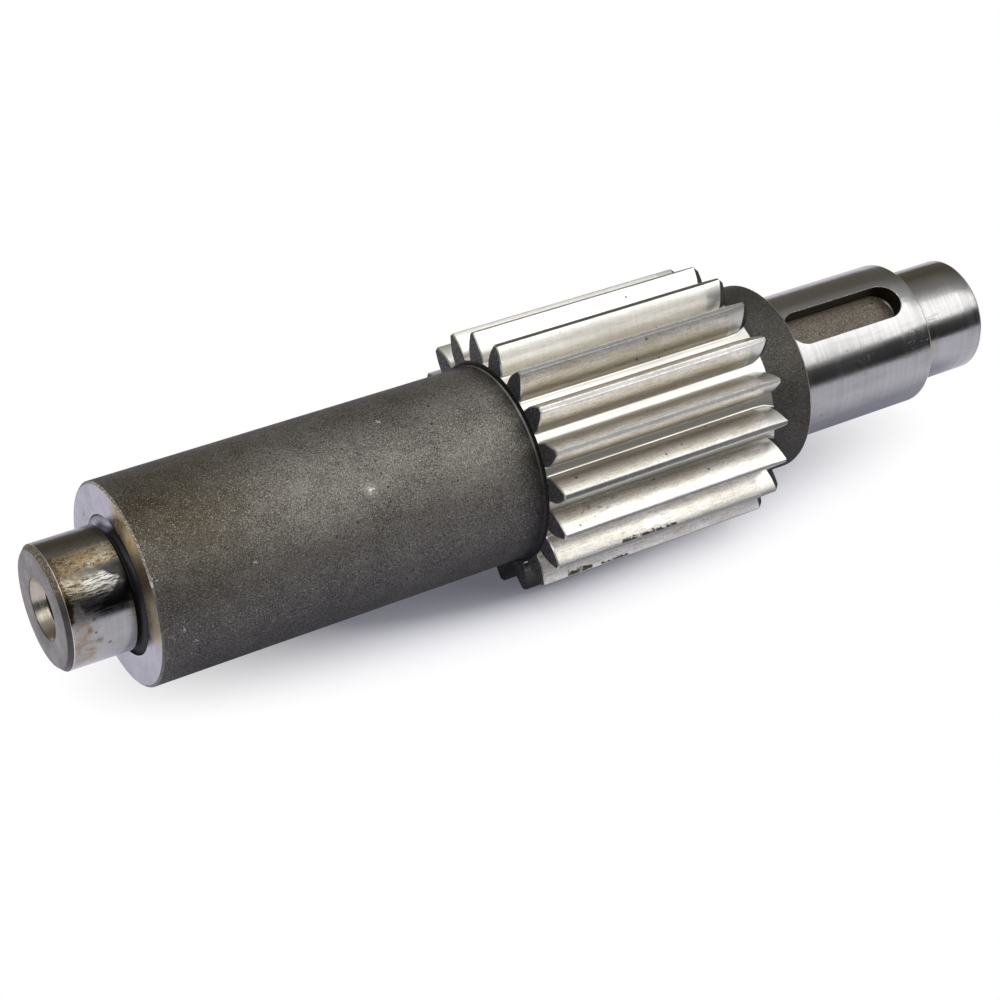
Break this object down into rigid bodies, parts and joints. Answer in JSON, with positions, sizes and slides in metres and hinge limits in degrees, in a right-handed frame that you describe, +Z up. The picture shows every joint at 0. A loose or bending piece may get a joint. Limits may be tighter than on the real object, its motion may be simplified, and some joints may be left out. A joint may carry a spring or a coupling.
{
  "type": "pinion shaft",
  "caption": "Stepped steel shaft with an integral straight-toothed pinion, two ground journals, a keyed seat with a closed keyway and a tapped centre in one end.",
  "frame": {"origin": "on the shaft's axis, at the middle of the front journal", "axes": "+X along the shaft's axis from the front journal to the rear journal, +Z up through the middle of one tooth; the keyway is turned 26 degrees from +Z towards -Y"},
  "size_m": [0.264, 0.0658, 0.0657],
  "materials": {
    "steel": "journals, keyed seat and tooth flanks ground bright, the rest shot-blasted dark grey, light staining"
  },
  "bodies": {
    "root": {"pinion_shaft": "steel"}
  },
  "joints": []
}
